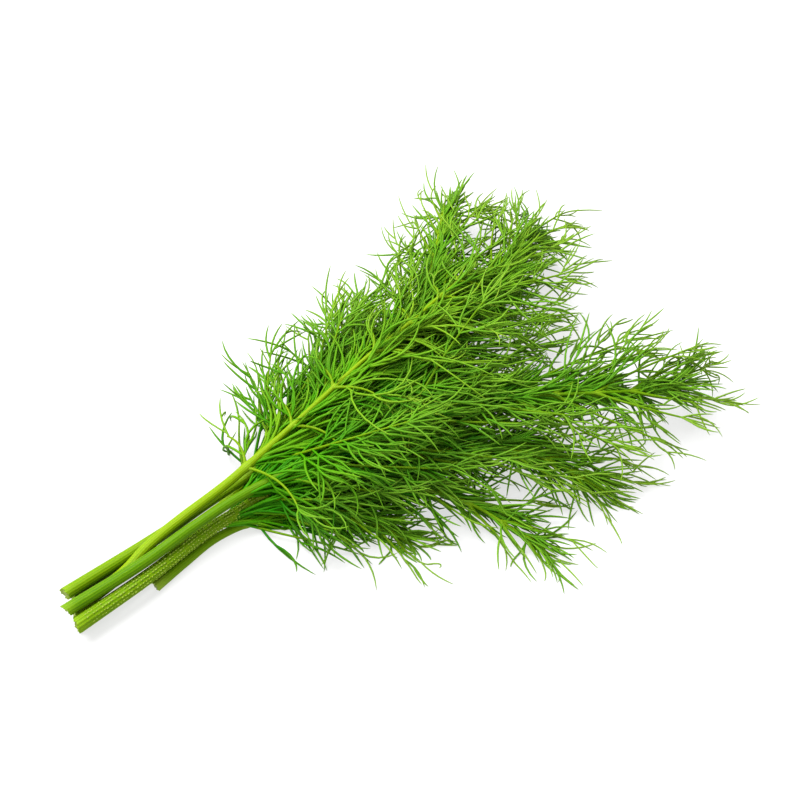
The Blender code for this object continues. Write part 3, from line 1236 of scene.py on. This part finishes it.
@dataclass(frozen=True)
class Mound:
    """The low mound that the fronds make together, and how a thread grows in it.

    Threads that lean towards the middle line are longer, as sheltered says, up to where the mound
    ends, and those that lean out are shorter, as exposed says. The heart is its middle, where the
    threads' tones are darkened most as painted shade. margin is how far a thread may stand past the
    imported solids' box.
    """

    middle_slope: float = -0.03
    middle_width: float = 25.0
    heart: float = 110.0
    heart_length: float = 60.0
    heart_height: float = 45.0
    end: Span = (178.0, 205.0)
    sheltered: float = 0.5
    exposed: float = 0.22
    inner_lean: float = 0.28
    lean_gain: float = 2.0
    steepest: float = 0.3
    margin: float = 13.0
    pull_in: float = 1.5
    least_left: float = 0.3
    girth: Span = (1.28, 0.70)

    def _aside(self, roots: np.ndarray) -> np.ndarray:
        """How far roots lie to the left of the middle line, as a share of its width."""
        return (roots[:, 1] - self.middle_slope * roots[:, 0]) / self.middle_width

    def hands(self, roots: np.ndarray, rng: np.random.Generator) -> np.ndarray:
        """The side that each thread leaves on, more often the one that faces the middle line."""
        leftward = 0.5 - self.inner_lean * np.clip(self._aside(roots), -1, 1)
        left = rng.uniform(0, 1, len(roots)) < leftward
        return np.where(left, Side.LEFT.value, Side.RIGHT.value)

    def sagged(self, directions: np.ndarray) -> np.ndarray:
        """Unit directions, none steeper than the threads' own weight lets them stand."""
        level = unit(directions)
        level[:, 2] = np.minimum(level[:, 2], self.steepest)
        return unit(level)

    def depth(self, roots: np.ndarray) -> np.ndarray:
        """How deep roots lie in the mound, from 0 at its outside to 1 at its heart."""
        along = (roots[:, 0] - self.heart) / self.heart_length
        low = np.clip(1 - roots[:, 2] / self.heart_height, 0, 1)
        return bell(along) * bell(self._aside(roots)) * low

    def inward(self, roots: np.ndarray, directions: np.ndarray) -> np.ndarray:
        """How far threads lean to the middle line, from 1 down to -1 for those that lean out."""
        return np.clip(-self.lean_gain * directions[:, 1] * self._aside(roots), -1, 1)

    def room(self, roots: np.ndarray, directions: np.ndarray) -> np.ndarray:
        """Factors for threads' lengths, by which way they lean and where they grow."""
        inward = self.inward(roots, directions)
        sheltered = np.interp(roots[:, 0], self.end, (self.sheltered, -self.exposed))
        return 1 + np.where(inward > 0, sheltered, self.exposed) * inward

    def fitted(self, threads: ThreadBundle) -> ThreadBundle:
        """The threads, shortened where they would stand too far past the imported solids' box."""
        ends = threads.at(np.ones((len(threads.roots), 1)))[0][:, 0]
        low, high = (np.array(corner) / MM for corner in PACKED_BOX)
        past = np.maximum(ends - high, low - ends).max(axis=1) - self.margin
        pulled = threads.lengths - self.pull_in * np.maximum(past, 0)
        threads.lengths = np.maximum(pulled, self.least_left * threads.lengths)
        return threads


@dataclass
class ThreadSource:
    """What the sprays and the shoots of one stalk have in common.

    Angles are in degrees, and turn is how far a thread bends over its length, in radians. shade is
    how far the tones of threads deep in the mound are darkened, as painted shade.
    """

    plan: StalkPlan
    stem: Rod
    branches: Sequence[Branch]
    mound: Mound
    angle: Span
    lean: Span
    length: Span
    stray: float
    sag: float
    radius: float
    turn: Span
    tones: Span = (0.22, 0.72)
    # shade: painted shade, the darkening of threads that grow deep in the mound
    shade: float = 0.4

    def leave(
        self,
        axes: Axes,
        hand: Union[int, np.ndarray],
        closing: Union[float, np.ndarray],
        drift: np.ndarray,
        rng: np.random.Generator,
    ) -> Tuple[np.ndarray, ...]:
        """Draws how middle threads leave a branch or a stem.

        Args:
            axes: forward, side and up, one row for each thread.
            hand: the side that each leaves on, by its sign, or 0 for neither.
            closing: a factor for their angles with forward.
            drift: the directions that they bend to, but for their sag and stray.
            rng: the stalk's own random draws.

        Returns:
            Their directions, planes and second directions, and their lengths.
        """
        n = len(drift)
        angle = np.radians(rng.uniform(*self.angle, n) * closing)
        direction, plane = leaning(axes, hand, angle, np.radians(rng.uniform(*self.lean, n)))
        lengths = rng.uniform(*self.length, n)
        towards = drift + rng.normal(0, self.stray, (n, 3)) - np.array((0, 0, self.sag))
        return direction, plane, towards, lengths

    def bundle(
        self,
        parts: Sequence[Tuple[np.ndarray, ...]],
        rng: np.random.Generator,
    ) -> Tuple[ThreadBundle, np.ndarray]:
        """Joins the parts of some middle threads to one bundle.

        Args:
            parts: for each its roots, directions, planes, second directions, lengths, tones, ages.
            rng: the stalk's own random draws.

        Returns:
            The bundle and the threads' planes.
        """
        joined = (np.concatenate(part) for part in zip(*parts))
        roots, directions, planes, towards, lengths, tones, ages = joined
        directions, towards = self.mound.sagged(directions), self.mound.sagged(towards)
        tones = tones + blend(self.tones, self.plan.lightness)
        # Painted shade: threads rooted deep and low in the mound's heart get darker tones.
        tones = np.clip(tones - self.shade * self.mound.depth(roots), 0, 1)
        turns = rng.uniform(*self.turn, len(roots)) * self.plan.wave
        ages = np.clip(ages, 0, 1)
        radii = self.radius * blend(self.mound.girth, ages)
        lengths = lengths * self.plan.reach * self.mound.room(roots, directions)
        made = ThreadBundle(roots, directions, towards, turns, lengths, radii, tones, ages)
        return self.mound.fitted(made), planes


@dataclass
class Sprays(ThreadSource):
    """The middle threads of the sprays that stand along the side branches.

    by_node holds the branch's part in a thread's age, and the thread's own place has the rest.
    """

    steps: Span = (9.9, 8.55)
    first_places: Span = (0.36, 0.12)
    last_place: float = 0.96
    end_place: float = 0.985
    place_spread: float = 0.04
    place_limits: Span = (0.08, 0.99)
    angle: Span = (30.0, 56.0)
    angle_closing: Span = (1.1, 0.7)
    lean: Span = (-60.0, 60.0)
    length: Span = (20.0, 31.0)
    length_by_node: Span = (1.35, 0.95)
    length_by_place: Span = (1.0, 0.75)
    full_drift: float = 1.1
    stray: float = 0.35
    sag: float = 0.3
    branch_tone: float = 0.16
    tone_spread: float = 0.09
    by_node: float = 0.6
    radius: float = 0.46
    turn: Span = (0.3, 1.1)

    def grow(self, rng: np.random.Generator) -> Tuple[ThreadBundle, np.ndarray]:
        """Grows a spray on each side of every branch at every step, and one at its end.

        Args:
            rng: the stalk's own random draws.

        Returns:
            One thread for each spray, and the direction square to the plane of each spray.
        """
        parts = []
        stem_forward = frames(self.stem.path, UP)[0]
        for branch in self.branches:
            node = branch.node_share
            along = unit(stem_forward[int(node * (len(stem_forward) - 1))])
            wanted = self.plan.fullness * branch.length / blend(self.steps, node) - node
            first = blend(self.first_places, node)
            places = np.linspace(first, self.last_place, max(1, round(wanted)))
            shade = rng.uniform(-self.branch_tone, self.branch_tone)
            for hand in (-1, 1, 0):
                share = places if hand else np.array([self.end_place])
                n = len(share)
                spread = rng.uniform(-self.place_spread, self.place_spread, n)
                share = np.clip(share + spread, *self.place_limits)
                path = branch.points(np.concatenate([[0], share]))
                forward, side, up = (axis[1:] for axis in frames(path, branch.upward))
                closing = blend(self.angle_closing, share) * abs(hand)
                drift = self.plan.drift * along + (self.full_drift - self.plan.drift) * forward
                leaves = self.leave((forward, side, up), hand, closing, drift, rng)
                direction, plane, towards, size = leaves
                size = size * blend(self.length_by_node, node) * blend(self.length_by_place, share)
                tone = shade + rng.normal(0, self.tone_spread, n)
                age = self.by_node * node + (1 - self.by_node) * share
                parts.append((path[1:], direction, plane, towards, size, tone, age))
        return self.bundle(parts, rng)


@dataclass
class Shoots(ThreadSource):
    """The middle threads of the long shoots that stream along the stalk from its joints."""

    each: int = 54
    least_fullness: float = 0.95
    thinning_power: float = 0.9
    place_spread: Span = (0.0, 0.05)
    angle: Span = (8.0, 28.0)
    lean: Span = (-75.0, 45.0)
    length: Span = (28.0, 50.0)
    length_by_place: Span = (1.0, 0.45)
    ahead: float = 0.8
    stray: float = 0.4
    sag: float = 0.5
    tone: float = 0.05
    early_tone: float = 0.2
    tone_spread: float = 0.14
    by_place: float = 0.6
    radius: float = 0.52
    turn: Span = (0.15, 0.8)

    def grow(self, rng: np.random.Generator) -> Tuple[ThreadBundle, np.ndarray]:
        """Grows a bundle of shoots at every joint but the last.

        Args:
            rng: the stalk's own random draws.

        Returns:
            One thread for each shoot, and the direction square to the plane of each shoot.
        """
        parts = []
        axes = frames(self.stem.path, UP)
        last = len(self.stem.path) - 1
        early = [self.plan.early_joint] if self.plan.early_joint else []
        each = self.each * max(self.least_fullness, self.plan.fullness)
        for place in early + sorted({branch.node_share for branch in self.branches})[:-1]:
            n = round(each * (1 - place) ** self.thinning_power)
            at = (place + rng.uniform(*self.place_spread, n)) * last
            at = np.clip(at.astype(int), 0, last - 1)
            forward, side, up = (axis[at] for axis in axes)
            hand = self.mound.hands(self.stem.path[at], rng)
            leaves = self.leave((forward, side, up), hand, 1.0, self.ahead * forward, rng)
            direction, plane, towards, size = leaves
            size = size * blend(self.length_by_place, place)
            middle_tone = self.early_tone if place in early else self.tone
            tone = rng.normal(middle_tone, self.tone_spread, n)
            age = np.full(n, place * self.by_place)
            parts.append((self.stem.path[at], direction, plane, towards, size, tone, age))
        return self.bundle(parts, rng)


@dataclass
class Foliage:
    """One stalk's thread leaves: its sprays and shoots, with the threads that fork off them."""

    plan: StalkPlan
    stem: Rod
    branches: Sequence[Branch]
    mound: Mound = Mound()
    radius: float = 0.43
    radius_spread: Span = (0.85, 1.1)
    place_spread: Span = (-0.07, 0.07)
    place_limits: Span = (0.08, 0.92)
    plane_spread: float = 0.4
    again_places: Span = (0.15, 0.4)
    shortest_by_age: Span = (1.15, 0.85)
    ahead: float = 0.8
    stray: float = 0.4
    sag: float = 0.2
    airy: float = 0.4
    tone_spread: float = 0.07
    ageing: float = 0.05

    def build(self, finish: bpy.types.Material) -> bpy.types.Object:
        """Makes the piece.

        Args:
            finish: the leaves' material.

        Returns:
            The object.
        """
        rng = np.random.default_rng(sum(ord(letter) for letter in self.plan.name))
        store = MeshStore()
        shared = (self.plan, self.stem, self.branches, self.mound)
        grown = (Sprays(*shared).grow(rng), Shoots(*shared).grow(rng))
        for (middle, planes), forking in zip(grown, (SPRAY_FORKING, SHOOT_FORKING)):
            middle.store(store)
            for share, hand in forking.places:
                threads, kept = self._forked(middle, planes, share, hand, forking, rng)
                threads.store(store)
                forks = rng.uniform(0, 1, len(threads.roots)) < forking.again
                place, planes_there = rng.uniform(*self.again_places), planes[kept][forks]
                bearers = threads.some(forks)
                again, _ = self._forked(bearers, planes_there, place, -hand, AGAIN_FORKING, rng)
                again.store(store)
        return store.piece(self.plan.name + "_leaves", finish)

    def _forked(
        self,
        middle: ThreadBundle,
        planes: np.ndarray,
        share: float,
        hand: int,
        forking: Forking,
        rng: np.random.Generator,
    ) -> Tuple[ThreadBundle, np.ndarray]:
        """Threads that fork off some of the middle threads, fewer of them towards the tips.

        Args:
            middle: the middle threads.
            planes: the direction square to the plane that each spray spreads in.
            share: where on each of them a thread leaves.
            hand: which side it leaves on.
            forking: how it leaves.
            rng: the stalk's own random draws.

        Returns:
            The threads, and for each middle thread whether one left it.
        """
        count = len(middle.roots)
        places = np.clip(share + rng.uniform(*self.place_spread, count), *self.place_limits)
        roots, ahead = (rows[:, 0] for rows in middle.at(places[:, None]))
        tilted = planes + rng.normal(0, self.plane_spread, (count, 3))
        across = hand * unit(np.cross(tilted, ahead))
        angle = np.radians(rng.uniform(*forking.angle, count))[:, None]
        directions = np.cos(angle) * ahead + np.sin(angle) * across
        rest = middle.lengths * (1 - places) * rng.uniform(*forking.reach, count)
        least = rng.uniform(*forking.shortest, count) * blend(self.shortest_by_age, middle.ages)
        stray = rng.normal(0, self.stray, (count, 3))
        towards = self.ahead * ahead + stray - np.array((0, 0, self.sag))
        outward = np.minimum(self.mound.inward(middle.roots, middle.directions), 0)
        likely = blend(forking.kept, middle.ages) * (1 + self.airy * outward)
        kept = rng.uniform(0, 1, count) < likely * min(1.0, self.plan.fullness)
        turns = rng.uniform(*forking.turn, count) * self.plan.wave
        radii = rng.uniform(*self.radius_spread, count) * self.radius
        bundle = ThreadBundle(
            roots,
            self.mound.sagged(directions),
            self.mound.sagged(towards),
            turns,
            np.maximum(rest, least * self.plan.reach),
            radii * blend(self.mound.girth, middle.ages),
            np.clip(middle.tones + rng.normal(0, self.tone_spread, count), 0, 1),
            np.clip(middle.ages + self.ageing, 0, 1),
        )
        return self.mound.fitted(bundle.some(kept)), kept


@dataclass(frozen=True)
class Lamp:
    """One square soft light that faces the bunch: its place from the target, edge and watts."""

    name: str
    place: Point
    size: float
    power: float


@dataclass
class Studio:
    """Plain pale floor, soft studio light and the camera."""

    floor_size: float = 4.0
    floor_colour: Colour = (0.22, 0.22, 0.22)
    floor_glow: float = 0.55
    floor_roughness: float = 0.9
    floor_gloss: float = 0.1
    lamps: Tuple[Lamp, ...] = (
        Lamp("key", (-0.30, 0.75, 1.6), 1.3, 62.0),
        Lamp("fill", (-0.9, -1.0, 1.2), 1.4, 8.0),
    )
    sky: float = 0.8
    target: Point = (0.1265, 0.0085, 0.012)
    azimuth: float = -36.0
    elevation: float = 50.0
    distance: float = 0.745
    lens: float = 85.0
    sensor: float = 36.0

    def build(self) -> None:
        """Makes the floor, the lights, the world and the camera."""
        self._floor()
        for lamp in self.lamps:
            data = bpy.data.lights.new(lamp.name, "AREA")
            data.size, data.energy = lamp.size, lamp.power
            self._stand(lamp.name, data, np.array(lamp.place))
        world = bpy.data.worlds.new("studio")
        world.use_nodes = True
        sky = world.node_tree.nodes["Background"].inputs
        sky["Color"].default_value = (1, 1, 1, 1)
        sky["Strength"].default_value = self.sky
        bpy.context.scene.world = world
        bpy.context.scene.view_settings.view_transform = "Standard"
        bpy.context.scene.view_settings.look = "Medium High Contrast"
        self._camera()

    def _floor(self) -> None:
        """Makes the floor."""
        half = self.floor_size / 2
        mesh = bpy.data.meshes.new("floor")
        corners = [(-half, -half, 0), (half, -half, 0), (half, half, 0), (-half, half, 0)]
        mesh.from_pydata(corners, [], [(0, 1, 2, 3)])
        recipe = Recipe("pale_floor")
        recipe.set(
            Base_Color=(*self.floor_colour, 1),
            Emission_Color=(1, 1, 1, 1),
            Emission_Strength=self.floor_glow,
            Roughness=self.floor_roughness,
            Specular_IOR_Level=self.floor_gloss,
        )
        mesh.materials.append(recipe.material)
        floor = bpy.data.objects.new("floor", mesh)
        bpy.context.scene.collection.objects.link(floor)

    def _stand(self, name: str, data: bpy.types.ID, offset: np.ndarray) -> bpy.types.Object:
        """Stands a lamp or a camera so that it faces the target.

        Args:
            name: the object's name.
            data: the lamp or the camera.
            offset: its place, from the target.

        Returns:
            The object, in the scene.
        """
        made = bpy.data.objects.new(name, data)
        bpy.context.scene.collection.objects.link(made)
        made.location = np.array(self.target) + offset
        made.rotation_euler = look_rotation(-offset)
        return made

    def _camera(self) -> None:
        """Makes the camera."""
        azimuth, elevation = math.radians(self.azimuth), math.radians(self.elevation)
        level = math.cos(elevation)
        back = (math.sin(azimuth) * level, -math.cos(azimuth) * level, math.sin(elevation))
        data = bpy.data.cameras.new("camera")
        data.lens, data.sensor_width = self.lens, self.sensor
        camera = self._stand("camera", data, np.array(back) * self.distance)
        bpy.context.scene.camera = camera


def look_rotation(direction: np.ndarray) -> Euler:
    """The rotation that turns a camera or a light to face along a direction."""
    return Vector(direction).to_track_quat("-Z", "Y").to_euler()


def main() -> None:
    """Builds the stems, the leaves and the studio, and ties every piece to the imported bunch."""
    logging.basicConfig(level=logging.INFO, format="%(name)s: %(message)s")
    skeleton = Skeleton(STALKS)
    skeleton.grow()
    stalk_finish = StalkFinish().material()
    leaf_finish = LeafFinish().material()
    for plan, branches in zip(STALKS, skeleton.branches):
        stem = skeleton.stem(plan, STEM_RINGS, flat=1.0)
        pieces = (
            Stalk(plan, stem, branches).build(stalk_finish),
            Foliage(plan, stem, branches).build(leaf_finish),
        )
        for piece in pieces:
            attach(piece, BODY)
            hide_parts(plan.name)
            piece.data.calc_loop_triangles()
            LOG.info("%s: %d triangles", piece.name, len(piece.data.loop_triangles))
    Studio().build()


if __name__ == "__main__":
    main()
